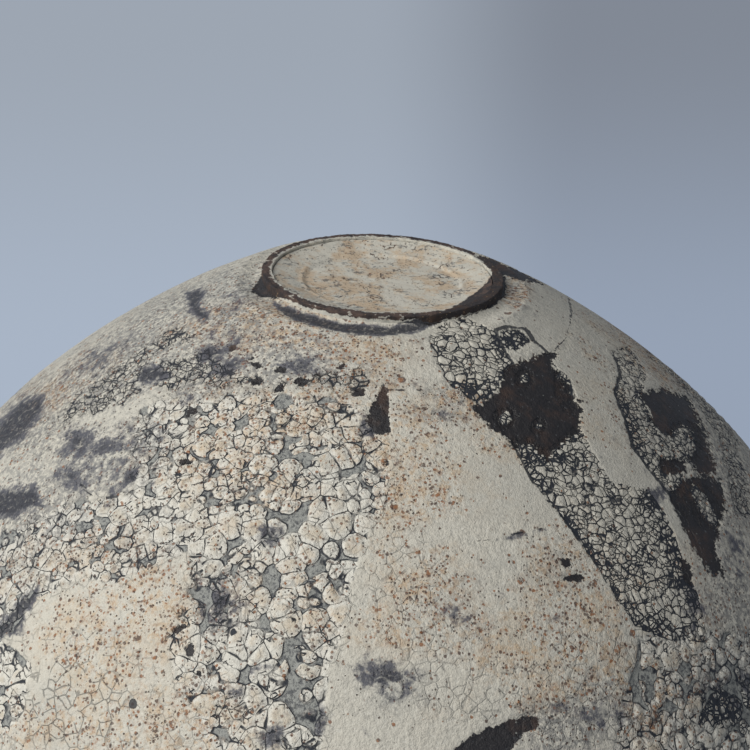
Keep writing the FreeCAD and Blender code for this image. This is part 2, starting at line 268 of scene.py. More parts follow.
# Where each finish lies on the photographed side, in pixels of the photograph.
# Ovals: x, y, half width, half height, turn in degrees, strength; a negative strength leaves an island out.
# Areas: corners, softness of the edge, strength.
OVALS = {
    "fine_crackle": [
        (514, 338, 17, 12, 10, 0.9), (566, 392, 10, 26, -20, 0.9), (506, 417, 12, 12, 0, 1.0),
        (526, 377, 10, 10, 0, 1.0), (540, 425, 8, 8, 0, 1.0),
        (686, 441, 18, 22, -20, 1.0), (706, 505, 16, 28, -30, 1.0),
    ],
    "thick_cracks": [
        (506, 417, 12, 12, 0, 0.7), (526, 377, 10, 10, 0, 0.9), (540, 425, 8, 8, 0, 0.9),
        (686, 441, 18, 22, -20, 0.4),
        (529, 468, 30, 8, 52, 0.8), (568, 524, 24, 9, 50, 0.7), (592, 552, 28, 7, 55, 0.7),
        (618, 594, 24, 5, 55, 0.6), (684, 560, 14, 48, -22, 0.9), (655, 500, 16, 12, 0, 0.8),
        (474, 390, 28, 9, 12, 0.9), (512, 342, 14, 20, 0, 0.9), (540, 455, 34, 9, 0, 0.9),
        (640, 560, 40, 30, 40, 0.45), (628, 420, 7, 60, -24, 0.8), (720, 708, 36, 16, 0, 0.9),
        (514, 338, 15, 11, 10, 1.0), (566, 392, 9, 24, -20, 1.0), (640, 640, 40, 30, 0, 0.7),
        (262, 668, 50, 64, 0, 0.9), (326, 520, 46, 54, 0, 0.8), (270, 560, 60, 30, 0, 0.7),
    ],
    "faint_crackle": [
        (405, 575, 32, 44, 0, 1.0), (500, 690, 90, 26, -6, 1.0), (590, 720, 60, 40, 0, 1.0),
        (210, 740, 90, 40, 0, 0.8), (70, 705, 66, 54, 0, 1.7), (60, 400, 70, 26, -35, 1.0),
        (310, 400, 70, 26, 0, 1.0), (430, 650, 60, 50, 0, 0.7), (590, 650, 60, 30, 0, 0.8),
    ],
    "dark_clay": [
        (566, 563, 6, 5, 0, 1.0), (574, 577, 12, 4, 0, 0.95), (688, 570, 4, 13, -15, 0.95),
        (506, 417, 5, 5, 0, -0.8), (526, 377, 4, 4, 0, -0.7), (686, 441, 8, 12, -20, -1.0),
        (706, 505, 5, 17, -30, -0.9), (540, 425, 3, 3, 0, -0.6), (189, 650, 5, 7, 0, 0.95),
        (178, 629, 8, 5, -40, 0.95), (198, 674, 3, 3, 0, 0.9), (292, 620, 4, 3, 0, 0.9),
        (257, 364, 6, 3, 10, 0.95), (280, 369, 6, 3, 0, 0.95), (256, 380, 6, 4, 0, 0.95),
        (301, 380, 9, 4, 5, 0.95), (278, 388, 6, 5, 0, 0.9), (341, 366, 5, 4, 0, 0.9),
        (190, 410, 7, 4, -20, 0.9), (184, 461, 7, 4, 0, 0.9), (360, 392, 8, 5, 0, 0.9),
        (252, 357, 3, 2, 0, 0.9), (318, 374, 4, 2, 0, 0.9), (232, 347, 4, 3, -40, 0.85),
    ],
    "slate": [
        (78, 442, 16, 15, 0, 0.95), (70, 476, 14, 9, 0, 0.95), (104, 446, 44, 11, -15, 0.8),
        (128, 478, 17, 8, -35, 0.95), (112, 460, 44, 30, -15, 0.55), (220, 603, 20, 20, 0, 0.85),
        (271, 533, 13, 9, -20, 0.95), (252, 570, 12, 7, 0, 0.7), (253, 668, 12, 6, 0, 0.8),
        (319, 718, 8, 17, 0, 1.0), (234, 692, 12, 6, 0, 0.8), (275, 738, 16, 12, 0, 0.85),
        (388, 678, 24, 15, 14, 1.0), (394, 691, 7, 6, 0, -1.0), (300, 366, 18, 10, 0, 0.9),
        (212, 352, 15, 12, -20, 1.0), (232, 364, 20, 8, -25, 0.9), (740, 690, 26, 16, 0, 0.7),
        (610, 712, 30, 18, 0, 0.6), (368, 424, 9, 12, 20, 0.95), (232, 340, 26, 16, 0, 0.55),
        (100, 356, 40, 10, -32, 0.6), (240, 300, 18, 14, 0, 0.5), (185, 395, 14, 8, 0, 0.6),
        (693, 600, 10, 26, -18, 0.75), (735, 545, 14, 40, -20, 0.6), (660, 493, 12, 9, 0, 0.8),
        (452, 612, 16, 9, 10, 0.55), (555, 610, 16, 9, 0, 0.5), (522, 534, 34, 3, -12, 0.75),
        (440, 412, 22, 4, 6, 0.55), (560, 705, 18, 9, 0, 0.6),
    ],
    "rust": [
        (400, 450, 40, 62, 0, 0.8), (432, 495, 60, 30, 0, 0.85), (290, 425, 95, 40, 0, 0.75),
        (230, 470, 70, 50, 0, 0.6), (425, 590, 60, 70, 0, 0.7), (98, 640, 40, 60, 0, 0.95),
        (155, 612, 26, 44, 0, 1.0), (575, 610, 60, 50, 0, 0.8), (265, 325, 70, 22, -8, 0.85),
        (560, 670, 90, 50, 0, 0.75), (190, 715, 70, 40, 0, 0.85), (130, 730, 50, 40, 0, 0.8),
        (470, 395, 14, 20, -40, 0.9), (500, 440, 34, 14, 35, 0.8), (640, 700, 60, 50, 0, 0.6),
        (515, 288, 14, 22, 0, 0.7), (700, 590, 14, 40, -20, 0.7), (60, 560, 70, 22, -15, 0.6),
        (457, 402, 22, 12, 30, 1.3), (504, 450, 16, 9, 30, 1.3), (600, 400, 24, 60, -20, 0.55),
        (30, 725, 50, 34, 0, 0.6), (640, 345, 50, 20, 38, 0.7), (408, 500, 30, 24, 0, 1.2),
        (60, 390, 50, 14, -38, 0.8), (375, 350, 60, 20, 0, 0.6), (260, 600, 90, 60, 0, 0.45),
    ],
    "smoke": [
        (150, 345, 110, 34, -33, 1.1), (225, 320, 60, 34, -15, 0.9), (240, 362, 84, 24, -8, 1.3),
        (330, 372, 60, 20, 6, 0.8), (105, 455, 60, 34, -15, 0.9), (330, 330, 90, 20, 10, 0.55),
        (60, 395, 70, 22, -38, 0.6), (610, 700, 60, 40, 0, 0.7), (735, 600, 40, 80, -10, 0.8),
        (700, 385, 60, 20, 42, 0.9), (640, 330, 50, 14, 32, 0.7), (555, 570, 40, 26, 0, 0.55),
        (725, 690, 50, 40, 0, 0.8), (215, 600, 30, 40, 0, 0.7), (455, 600, 60, 40, 0, 0.4),
        (722, 480, 34, 60, -20, 1.0), (560, 728, 50, 26, 0, 0.9), (30, 420, 50, 40, -38, 0.9),
        (518, 292, 14, 22, 0, 0.8), (30, 500, 60, 50, -10, 0.8), (660, 430, 50, 40, 50, 0.5),
        (655, 335, 60, 14, 36, 1.1), (715, 400, 50, 16, 50, 1.1), (435, 412, 40, 10, 5, 0.7),
        (470, 400, 50, 12, 12, 0.8), (390, 690, 40, 26, 0, 0.6), (590, 470, 30, 12, 0, 0.4),
        (120, 540, 90, 40, 0, 0.45), (20, 560, 60, 40, 0, 0.5), (480, 630, 60, 20, 0, 0.4),
    ],
    "smooth": [
        (543, 316, 26, 27, 0, 1.0), (410, 360, 14, 12, 0, 0.7), (560, 300, 40, 16, 28, 0.7),
        (500, 562, 44, 14, -12, 0.6), (25, 470, 34, 16, -20, 0.7),
    ],
}
AREAS = {
    "scales": [
        ([(143, 404), (200, 392), (249, 392), (311, 394), (345, 398), (365, 420), (388, 445), (388, 500),
          (368, 530), (352, 578), (342, 638), (330, 662), (320, 760), (205, 760), (196, 715), (172, 674),
          (167, 638), (190, 600), (191, 547), (108, 583), (72, 576), (31, 607), (0, 643), (-60, 670),
          (-60, 560), (0, 533), (60, 504), (134, 495), (128, 440)], 10, 1.0),
        ([(-60, 640), (0, 640), (31, 665), (22, 715), (0, 740), (-60, 750)], 6, 1.0),
        ([(640, 632), (672, 624), (715, 630), (750, 634), (820, 640), (820, 800), (614, 760), (622, 705),
          (640, 650)], 7, 1.0),
    ],
    "fine_crackle": [
        ([(428, 335), (445, 322), (470, 318), (497, 330), (516, 365), (505, 380), (490, 398), (478, 402),
          (452, 385), (436, 362)], 4, 1.0),
        ([(512, 438), (530, 436), (549, 448), (575, 425), (583, 430), (592, 447), (613, 482), (650, 489),
          (664, 509), (676, 535), (688, 571), (700, 595), (710, 643), (672, 640), (638, 628), (619, 600),
          (595, 561), (566, 521), (547, 499), (533, 480)], 1.6, 1.0),
        ([(612, 350), (630, 345), (648, 372), (643, 392), (660, 432), (682, 462), (692, 515), (684, 519),
          (668, 489), (649, 467), (633, 446), (625, 417), (615, 393), (619, 369)], 2.5, 1.0),
        ([(700, 690), (750, 672), (820, 680), (820, 740), (745, 735), (700, 725)], 6, 0.9),
        ([(150, 350), (210, 335), (245, 362), (300, 372), (350, 350), (385, 372), (380, 400), (345, 400),
          (250, 394), (143, 404)], 10, 0.60),
        ([(36, 418), (84, 372), (132, 336), (176, 314), (214, 322), (206, 344), (160, 362), (143, 404),
          (104, 424), (60, 436)], 9, 0.58),
        ([(620, 300), (640, 318), (700, 370), (740, 430), (760, 520), (735, 520), (716, 440), (690, 396),
          (648, 360)], 6, 0.75),
    ],
    "dark_clay": [
        ([(474, 407), (497, 392), (505, 372), (514, 364), (530, 358), (548, 350), (557, 352), (553, 364),
          (561, 376), (578, 398), (582, 410), (580, 432), (566, 440), (556, 452), (549, 461), (541, 452),
          (530, 444), (516, 446), (494, 429)], 4.5, 1.0),
        ([(641, 393), (666, 387), (690, 398), (706, 430), (716, 470), (702, 478), (690, 455), (676, 436),
          (660, 432), (650, 410)], 4.5, 1.0),
        ([(661, 458), (685, 460), (688, 472), (664, 472)], 2.5, 1.0),
        ([(672, 494), (686, 478), (704, 474), (722, 480), (727, 509), (719, 533), (717, 552), (727, 576),
          (710, 571), (691, 537), (684, 525)], 4.5, 1.0),
        ([(436, 764), (458, 746), (480, 731), (505, 721), (528, 716), (544, 718), (536, 729), (522, 735),
          (514, 745), (508, 764)], 3, 1.0),
        ([(383, 386), (387, 388), (391, 431), (380, 434), (366, 420), (373, 402)], 2.5, 1.0),
        ([(478, 252), (492, 257), (506, 264), (526, 271), (548, 285), (522, 279), (502, 273), (487, 266)],
         2.5, 1.0),
        ([(462, 302), (477, 291), (488, 281), (493, 270), (506, 276), (505, 296), (492, 306), (474, 312),
          (452, 318), (430, 323), (420, 320), (445, 311)], 2.5, 1.2),
        ([(251, 291), (257, 283), (262, 272), (270, 280), (285, 298), (272, 296), (262, 295)], 2, 1.2),
    ],
    "slate": [
        ([(-40, 450), (0, 418), (18, 398), (43, 392), (45, 408), (26, 434), (0, 455), (-40, 480)], 4, 1.0),
        ([(-40, 480), (0, 488), (36, 484), (42, 503), (12, 519), (-40, 515)], 4, 1.0),
        ([(0, 620), (22, 592), (38, 586), (36, 600), (24, 612), (22, 632), (0, 640), (-40, 650),
          (-40, 630)], 3, 1.0),
        ([(183, 290), (200, 286), (206, 292), (200, 303), (213, 318), (206, 324), (192, 315), (186, 303)],
         3, 1.0),
        # The dark blue-grey band along the foot's root: partly slate stain, partly painted shade of the
        # foot's step.
        ([(274, 303), (290, 307), (307, 313), (334, 321), (361, 324), (388, 326), (413, 322), (434, 312),
          (442, 314), (438, 321), (417, 330), (390, 334), (361, 333), (332, 329), (303, 321), (284, 314)],
         2, 1.3),
        ([(134, 370), (148, 363), (170, 370), (165, 378), (150, 382), (138, 384)], 3, 1.0),
    ],
    "smooth": [
        ([(462, 458), (512, 452), (533, 480), (547, 499), (566, 521), (545, 524), (470, 520), (463, 500)],
         5, 1.0),
        ([(560, 352), (575, 350), (600, 365), (616, 393), (633, 446), (649, 467), (668, 489), (650, 489),
          (613, 482), (592, 447), (583, 434), (580, 400), (561, 376)], 4, 1.0),
        ([(664, 502), (676, 500), (700, 545), (712, 600), (718, 640), (704, 600), (690, 571), (678, 535)],
         2.5, 1.0),
    ],
}

# Single cracks and edges of brushed slip: corners and strength
LINES = [
    ([(562, 284), (569, 296), (572, 310), (571, 324), (566, 338), (556, 350)], 0.94),
    ([(386, 389), (420, 390), (455, 392), (478, 396)], 0.90),
    ([(478, 541), (510, 535), (545, 527), (566, 522)], 0.94),
    ([(32, 470), (42, 452), (62, 436), (90, 426), (120, 420), (141, 412), (148, 400)], 0.88),
    ([(616, 357), (622, 370), (616, 393), (625, 417), (634, 446), (650, 468), (668, 490), (684, 520)], 1.0),
    ([(497, 330), (503, 345), (510, 357), (517, 368)], 1.02),
    ([(495, 329), (510, 326), (526, 328), (535, 340), (550, 352)], 1.02),
    ([(516, 447), (533, 480), (541, 489)], 0.98),
    ([(541, 489), (575, 488), (612, 481)], 0.97),
    ([(553, 507), (590, 504), (626, 498)], 0.98),
    ([(566, 521), (595, 561), (619, 600)], 0.96),
    ([(678, 500), (700, 545), (708, 572)], 0.94),
    ([(80, 484), (95, 498), (125, 495), (138, 485)], 0.92),
    ([(640, 318), (660, 340), (680, 372), (690, 396)], 0.94),
]
# Half the width over which a line fades and a distance beyond any, in pixels; how deep an island cuts
LINE_REACH = 6
FARTHEST = 1000.0
ISLAND_DEPTH = 1.6

# The sides that the photograph doesn't show get the same finishes in places drawn from a fixed seed:
# seed, how many, smallest and largest half size in metres, narrowest and widest share of it, strength.
# Dark clay shares its seed with the fine crackle, so that it lies in the middle of it, as it does in front.
UNSEEN_MARKS = {
    "scales": (3, 13, 0.030, 0.075, 0.35, 0.70, 1.0),
    "fine_crackle": (8, 17, 0.024, 0.046, 0.25, 0.45, 1.0),
    "dark_clay": (8, 15, 0.008, 0.021, 0.30, 0.65, 1.0),
    "slate": (11, 46, 0.003, 0.015, 0.30, 0.80, 1.0),
    "smooth": (12, 12, 0.016, 0.040, 0.25, 0.60, 1.0),
    "thick_cracks": (8, 17, 0.014, 0.030, 0.20, 0.40, 1.0),
    "faint_crackle": (5, 22, 0.020, 0.050, 0.40, 0.90, 1.0),
    "rust": (6, 26, 0.018, 0.048, 0.40, 0.90, 0.95),
    "smoke": (9, 30, 0.018, 0.060, 0.30, 0.70, 0.9),
    "line": (15, 16, 0.020, 0.050, 0.030, 0.045, 1.06),
}
FINISHES = tuple(UNSEEN_MARKS)


def seen_ovals(x, y, marks):
    """How much of a finish lies at each pixel: 0.5 at a mark's edge and more inside it."""
    amount = np.zeros_like(x)
    for centre_x, centre_y, half_w, half_h, turn, strength in marks:
        angle = math.radians(turn)
        along = ((x - centre_x) * math.cos(angle) + (y - centre_y) * math.sin(angle)) / half_w
        over = ((y - centre_y) * math.cos(angle) - (x - centre_x) * math.sin(angle)) / half_h
        amount = np.maximum(amount, np.clip(1 - np.sqrt(along ** 2 + over ** 2) / 2, 0, 1) * strength)
    return amount


def seen_areas(x, y, areas):
    """The same for areas with corners."""
    amount = np.zeros_like(x)
    for corners, softness, strength in areas:
        reach = line_reach(x, y, corners + corners[:1])
        inside = np.zeros(len(x), dtype=bool)
        for (x0, y0), (x1, y1) in zip(corners, corners[1:] + corners[:1]):
            if y0 != y1:
                crosses = (y0 > y) != (y1 > y)
                inside ^= crosses & (x < x0 + (y - y0) * (x1 - x0) / (y1 - y0))
        signed = np.where(inside, reach, -reach)
        amount = np.maximum(amount, np.clip(0.5 + signed / softness / 4, 0, 1) * strength)
    return amount


def line_reach(x, y, corners):
    """Distance in pixels to the nearest point of a line with corners."""
    reach = np.full(len(x), FARTHEST)
    for (x0, y0), (x1, y1) in zip(corners, corners[1:]):
        run_x = x1 - x0
        run_y = y1 - y0
        share = np.clip(((x - x0) * run_x + (y - y0) * run_y) / (run_x ** 2 + run_y ** 2), 0, 1)
        reach = np.minimum(reach, np.hypot(x - x0 - share * run_x, y - y0 - share * run_y))
    return reach


def seen_amounts(x, y, finish):
    """Areas and ovals of one finish together; an oval with a negative strength cuts into both."""
    amount = seen_areas(x, y, AREAS.get(finish, []))
    marks = OVALS.get(finish, [])
    amount = np.maximum(amount, seen_ovals(x, y, [mark for mark in marks if mark[5] > 0]))
    for mark in marks:
        if mark[5] < 0:
            hole = seen_ovals(x, y, [mark[:5] + (1.0,)])
            amount = np.minimum(amount, np.clip(1 + hole * mark[5] * ISLAND_DEPTH, 0, 1))
    if finish == "line":
        for corners, strength in LINES:
            near = np.clip(1 - line_reach(x, y, corners) / LINE_REACH / 2, 0, 1)
            amount = np.maximum(amount, near * strength)
    return amount


# Slow waves that push places about: pitch and reach in metres, and shift
STRAY_WAVES = ((0.150, 0.016, 0.4), (0.062, 0.008, 2.1), (0.027, 0.0035, 4.6))
CROSS_PITCH = 1.31
TOP_LEVEL = 0.92


def strayed(places):
    """Places pushed about in slow waves, which makes an oval mark irregular."""
    moved = places.copy()
    for pitch, reach, shift in STRAY_WAVES:
        waves = np.sin(places[:, [1, 2, 0]] * (2 * math.pi / pitch) + shift)
        cross = np.cos(places[:, [2, 0, 1]] * (2 * math.pi / pitch / CROSS_PITCH) + shift * 2)
        moved += waves * cross * reach
    return moved


def unseen_amounts(places, seed, count, least, most, narrowest, widest, strength):
    """Amounts for marks set about the jar by a seeded draw, as ovals that lie along its surface."""
    draw = np.random.default_rng(seed)
    amount = np.zeros(len(places))
    for _ in range(count):
        turn = draw.uniform(0, 2 * math.pi)
        level = draw.uniform(-TOP_LEVEL, TOP_LEVEL)
        lean = draw.uniform(0, math.pi)
        size_share = draw.uniform(0, 1)
        narrow_share = draw.uniform(0, 1)
        ring = math.sqrt(1 - level * level) * BELLY_RADIUS
        centre = np.array([ring * math.cos(turn), ring * math.sin(turn), BELLY_Z + level * BELLY_RADIUS])
        out = centre - np.array([0, 0, BELLY_Z])
        out /= np.linalg.norm(out)
        side = np.cross(out, [0, 0, 1])
        side /= np.linalg.norm(side)
        rise = np.cross(side, out)
        first = side * math.cos(lean) + rise * math.sin(lean)
        second = rise * math.cos(lean) - side * math.sin(lean)
        half = least + (most - least) * size_share
        narrow = half * (narrowest + (widest - narrowest) * narrow_share)
        offset = places - centre
        reach = np.sqrt((offset @ first / half) ** 2 + (offset @ second / narrow) ** 2
                        + (offset @ out / most / 2) ** 2)
        amount = np.maximum(amount, np.clip(1 - reach / 2, 0, 1) * strength)
    return amount


# Over how many pixels beyond the picture, and over what share of facing the eye, the photographed side
# fades into the others
PICTURE_FADE = 60
FACING_START = -0.02
FACING_FADE = 0.08


def mark_finishes(piece):
    """Writes the amount of each finish at every point of a piece, as attributes that its material reads."""
    mesh = piece.data
    count = len(mesh.vertices)
    places = np.empty(count * 3)
    mesh.vertices.foreach_get("co", places)
    places = places.reshape(-1, 3)
    x, y = in_picture(places)
    middle = np.array([0, 0, BELLY_Z])
    out = places - middle
    out /= np.linalg.norm(out, axis=1)[:, None]
    towards = np.array(EYE) - places
    towards /= np.linalg.norm(towards, axis=1)[:, None]
    facing = (out * towards).sum(1)
    outside = np.maximum(np.abs(x - PICTURE_SIZE / 2), np.abs(y - PICTURE_SIZE / 2)) - PICTURE_SIZE / 2
    seen = np.clip(1 - outside / PICTURE_FADE, 0, 1)
    seen *= np.clip((facing - FACING_START) / FACING_FADE, 0, 1)
    moved = strayed(places)
    for finish in FINISHES:
        near = seen_amounts(x, y, finish)
        far = unseen_amounts(moved, *UNSEEN_MARKS[finish])
        store(mesh, finish, "FLOAT", "value", near * seen + far * (1 - seen))
    store(mesh, "laid", "FLOAT_VECTOR", "vector", places.ravel())


def store(mesh, name, kind, field, numbers):
    layer = mesh.attributes.new(name, kind, "POINT")
    layer.data.foreach_set(field, np.ascontiguousarray(numbers, dtype=np.float32))


class Recipe:
    """Adds nodes to one tree. The same steps work in a material, in the world and in a geometry tree."""

    def __init__(self, tree):
        self.tree = tree
        tree.nodes.clear()

    def feed(self, socket, source):
        source = getattr(source, "socket", source)
        if isinstance(source, bpy.types.NodeSocket):
            self.tree.links.new(source, socket)
        else:
            socket.default_value = source

    def add(self, kind, sources={}, **settings):
        """A node with its settings; sources gives what its sockets get, by their name or number."""
        node = self.tree.nodes.new(kind)
        for name, setting in settings.items():
            setattr(node, name, setting)
        for socket, source in sources.items():
            self.feed(node.inputs[socket], source)
        return node

    def value(self, kind, sources={}, output=0, **settings):
        return Value(self, self.add(kind, sources, **settings).outputs[output])


class Value:
    """A number, colour or place that nodes work out. Signs between values add the nodes for them."""

    def __init__(self, recipe, socket):
        self.recipe = recipe
        self.socket = socket

    def math(self, operation, *others):
        return self.recipe.value("ShaderNodeMath", dict(enumerate((self,) + others)), operation=operation)

    def __add__(self, other):
        return self.math("ADD", other)

    def __radd__(self, other):
        return self.math("ADD", other)

    def __sub__(self, other):
        return self.math("SUBTRACT", other)

    def __rsub__(self, other):
        return self.recipe.value("ShaderNodeMath", {0: other, 1: self}, operation="SUBTRACT")

    def __mul__(self, other):
        return self.math("MULTIPLY", other)

    def less(self, other):
        """The smaller of two."""
        return self.math("MINIMUM", other)

    def more(self, other):
        """The larger of two."""
        return self.math("MAXIMUM", other)

    def rise(self, low, high):
        """0 at low, 1 at high and smooth between; low may be the larger."""
        sources = {"Value": self, "From Min": low, "From Max": high}
        return self.recipe.value("ShaderNodeMapRange", sources, "Result", interpolation_type="SMOOTHSTEP")

    def part(self, index):
        return self.recipe.value("ShaderNodeSeparateXYZ", {0: self}, index)

    def vector(self, operation, other, socket=1, output=0):
        sources = {0: self, socket: other}
        return self.recipe.value("ShaderNodeVectorMath", sources, output, operation=operation)

    def scaled(self, factor):
        return self.vector("SCALE", factor, 3)

    def dot(self, way):
        return self.vector("DOT_PRODUCT", way, 1, "Value")

    def cloud(self, grain, detail=2.0, rough=0.5, output="Fac"):
        """Soft noise about 0.5, with lumps of a given size in millimetres."""
        sources = {"Vector": self, "Scale": 1 / grain, "Detail": detail, "Roughness": rough}
        return self.recipe.value("ShaderNodeTexNoise", sources, output)

    def bent(self, grain, reach):
        """Places pushed about by noise, so that what is drawn on them runs unevenly."""
        push = self.cloud(grain, output="Color").vector("SUBTRACT", (0.5, 0.5, 0.5))
        return self.vector("ADD", push.scaled(reach))

    def cells(self, size, feature="F1"):
        """Voronoi cells of a given size in millimetres: distances in millimetres, and a tint for each."""
        node = self.recipe.add("ShaderNodeTexVoronoi", {"Vector": self, "Scale": 1 / size}, feature=feature)
        return Value(self.recipe, node.outputs["Distance"]) * size, Value(self.recipe, node.outputs["Color"])

    def cell_edge(self, size):
        """How far a place is from the edge of its cell, in millimetres."""
        sources = {"Vector": self, "Scale": 1 / size}
        edge = self.recipe.value("ShaderNodeTexVoronoi", sources, "Distance", feature="DISTANCE_TO_EDGE")
        return edge * size


def blend(share, under, over):
    return share.recipe.value("ShaderNodeMix", {0: share, 6: under, 7: over}, 2, data_type="RGBA")


# The coat's pattern: sizes of its cells, radii that round the scales off and half the gaps, in millimetres
BIG_SCALE = 5.8
BIG_ROUND = 4.2
SMALL_SCALE = 3.4
SMALL_ROUND = 2.5
SCALE_LINE = 0.085
SPLIT_CELL = 2.5
FINE_CELL = 2.7
FINE_LINE = 0.12
FINER_CELL = 1.6
FINER_LINE = 0.07
HAIR_CELL = 3.3

# The coat's relief, in millimetres
SCALE_RISE = 0.62
SCALE_SAG = 0.16
FINE_RISE = 0.3
BARE_DEPTH = 0.3
SLATE_DEPTH = 0.12
HILL_HEIGHT = 0.35
LUMP_HEIGHT = 0.22
BLISTER_HEIGHT = 0.035
COAT_DROP = 0.32
HIGHEST = -0.02
LOWEST = -1.05
WELL_RIDGE = 23.7


def slip_pattern(place, amounts):
    """The slip's cracks, scales, bare clay and specks at a place in millimetres, as named amounts."""
    ragged = place.cloud(4.0, 4.0, 0.6)
    broad = place.cloud(16.0)
    drift = ragged - 0.5

    def zone(name, low, high, wander):
        shifted = amounts[name] + drift * wander
        return shifted.rise(low, high)

    smooth = zone("smooth", 0.4, 0.6, 0.3)
    crumbs = place.cloud(1.3, 3.0, 0.65) - 0.5
    bare_edge = drift * 0.8 + crumbs
    bare = (amounts["dark_clay"] + bare_edge).rise(0.44, 0.53)
    scales = zone("scales", 0.44, 0.54, 0.5) * (1.0 - smooth)
    fine = zone("fine_crackle", 0.46, 0.54, 0.5)
    near_bare = amounts["dark_clay"].rise(0.05, 0.5)
    thick = (near_bare * 0.8).more(amounts["thick_cracks"].rise(0.15, 0.75))
    slate_edge = drift * 1.9 + crumbs * 0.9
    slate = (amounts["slate"] + slate_edge).rise(0.26, 0.74)
    smoke = (amounts["smoke"] + drift).rise(0.12, 0.72)
    line = zone("line", 0.86, 0.93, 0.55)

    wavy = place.bent(7.0, 2.4).bent(2.2, 0.42)
    big_centre, big_tint = wavy.cells(BIG_SCALE)
    big_next, _ = wavy.cells(BIG_SCALE, "F2")
    big_edge = (big_next - big_centre) * 0.5
    small_centre, _ = wavy.cells(SMALL_SCALE)
    small_next, _ = wavy.cells(SMALL_SCALE, "F2")
    small_edge = (small_next - small_centre) * 0.5
    crowd = place.cloud(9.0, 1.0) + amounts["rust"] * 0.12 - amounts["thick_cracks"] * 0.2
    crowd = crowd.rise(0.5, 0.54)
    round_off = (place.cloud(12.0, 1.0) - 0.5) * 1.6 - broad.rise(0.5, 0.62) * 0.55
    line_width = SCALE_LINE + (place.cloud(3.6, 1.0) - 0.5) * 0.5
    big_round = BIG_ROUND + round_off - big_centre
    small_round = SMALL_ROUND + round_off * 0.7 - small_centre
    big_plate = (big_edge - line_width).less(big_round)
    small_plate = (small_edge - line_width).less(small_round)
    plate = big_plate * (1.0 - crowd) + small_plate * crowd
    split_edge = wavy.cell_edge(SPLIT_CELL)
    split_zone = place.cloud(2.6, 1.0).rise(0.57, 0.63)
    split_near = plate.rise(1.5, 0.5)
    split = split_edge.rise(0.15, 0.04) * split_zone * split_near

    tight = place.bent(2.0, 0.9)
    fine_edge = tight.cell_edge(FINE_CELL)
    finer_edge = tight.cell_edge(FINER_CELL)
    fine_width = FINE_LINE + thick * 0.13 + drift * 0.5
    fine_line = (fine_edge - fine_width).rise(0.07, -0.07)
    finer_open = place.cloud(3.2, 1.0) + thick * 0.28
    finer_width = FINER_LINE + thick * 0.12
    finer_line = (finer_edge - finer_width).rise(0.06, -0.06)
    finer_line = finer_line * finer_open.rise(0.47, 0.55)
    fine_line = fine_line.more(finer_line)

    faint = amounts["faint_crackle"].more(amounts["scales"] * 1.6)
    faint = (faint + drift * 0.5).rise(0.25, 0.6)
    hair_edge = wavy.cell_edge(HAIR_CELL)
    hair_zone = (place.cloud(5.0, 1.0) + faint * 0.12).rise(0.52, 0.6)
    hair = hair_edge.rise(0.2, 0.04) * hair_zone
    strong = faint * 0.24 + amounts["faint_crackle"].rise(0.8, 1.2) * 0.22
    hair = hair * (0.05 + strong)
    blister = hair_edge.rise(0.0, 0.9) * (faint * (1.0 - smooth))

    fading = place.cloud(2.8).rise(0.32, 0.54)
    outline = plate.rise(0.08, -0.08) * (scales * (0.48 + fading * 0.52))
    gap = plate.rise(-0.22, -0.42) * scales
    crack = outline.more(split * scales).more(fine_line * fine)
    crack = crack.more(hair * (1.0 - smooth)).more(line * 0.9)
    return SimpleNamespace(
        smooth=smooth, bare=bare, scales=scales, fine=fine, slate=slate, plate=plate, gap=gap, crack=crack,
        fine_edge=fine_edge, big_tint=big_tint, blister=blister, ragged=ragged, broad=broad, smoke=smoke,
        crumbs=crumbs)


def relief(place, amounts):
    """How far the slip's surface stands above or below its even coat, in millimetres."""
    pattern = slip_pattern(place, amounts)
    scale_rise = pattern.plate.rise(-0.5, 1.1) * SCALE_RISE
    scale_sag = pattern.plate.rise(1.0, 3.4) * SCALE_SAG
    scale_lift = (scale_rise - scale_sag - 0.5) * pattern.scales
    fine_lift = (pattern.fine_edge.rise(0.1, 0.9) - 0.9) * FINE_RISE * pattern.fine
    sunk = pattern.bare * -BARE_DEPTH + pattern.slate * -SLATE_DEPTH
    uneven = (pattern.broad - 0.5) * HILL_HEIGHT + (pattern.ragged - 0.5) * LUMP_HEIGHT - COAT_DROP
    lift = scale_lift + fine_lift + sunk + pattern.blister * BLISTER_HEIGHT + uneven
    return lift.less(HIGHEST).more(LOWEST)


def relief_tree(name, shape):
    """Geometry nodes that move a coat's points along their normals by the relief that shape gives."""
    tree = bpy.data.node_groups.new(name, "GeometryNodeTree")
    tree.interface.new_socket("Geometry", in_out="INPUT", socket_type="NodeSocketGeometry")
    tree.interface.new_socket("Geometry", in_out="OUTPUT", socket_type="NodeSocketGeometry")
    recipe = Recipe(tree)
    start = recipe.add("NodeGroupInput")
    place = recipe.value("GeometryNodeInputPosition").scaled(MILLIMETRES)
    amounts = {finish: recipe.value("GeometryNodeInputNamedAttribute", {"Name": finish}, "Attribute",
                                    data_type="FLOAT") for finish in FINISHES}
    lift = shape(place, amounts) * (1 / MILLIMETRES)
    push = recipe.value("GeometryNodeInputNormal").scaled(lift)
    move = recipe.add("GeometryNodeSetPosition", {"Geometry": start.outputs[0], "Offset": push})
    recipe.add("NodeGroupOutput", {0: move.outputs[0]})
    return tree


def lay_relief(piece, tree):
    """Applies the relief to a coat's own mesh."""
    modifier = piece.modifiers.new("relief", "NODES")
    modifier.node_group = tree
    shaped = bpy.data.meshes.new_from_object(piece.evaluated_get(bpy.context.evaluated_depsgraph_get()))
    piece.modifiers.clear()
    old = piece.data
    piece.data = shaped
    bpy.data.meshes.remove(old)
    shaped.name = piece.name


def layered(colour, *layers):
    """A colour with others laid over it in turn, each given as how much of it shows and its tone."""
    for share, tone in layers:
        colour = blend(share, colour, tone)
    return colour


